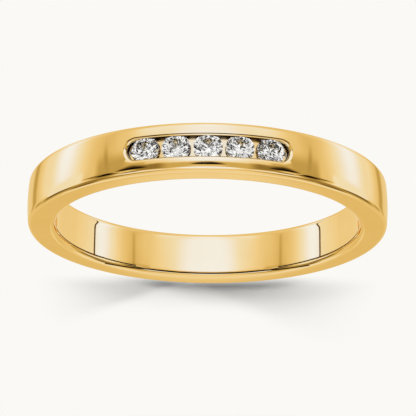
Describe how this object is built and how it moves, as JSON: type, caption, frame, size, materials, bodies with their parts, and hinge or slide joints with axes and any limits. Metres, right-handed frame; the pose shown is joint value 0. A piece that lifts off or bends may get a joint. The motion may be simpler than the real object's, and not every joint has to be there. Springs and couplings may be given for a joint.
{
  "type": "channel set band",
  "caption": "Flat-sided gold finger ring with a row of small round stones held between the walls of a channel across its front.",
  "frame": {"origin": "middle of the ring's outline, on the surface that the ring lies on", "axes": "+Z along the finger's axis, up from the rim that the ring lies on; the row of stones is at the front, -Y, and runs along X"},
  "size_m": [0.0206, 0.0205, 0.0028],
  "materials": {
    "gold": "14 karat yellow gold, high polish all over",
    "diamond": "colourless, faceted and polished"
  },
  "bodies": {
    "root": {"band": "gold", "stone_1": "diamond", "stone_2": "diamond", "stone_3": "diamond", "stone_4": "diamond", "stone_5": "diamond"}
  },
  "joints": []
}
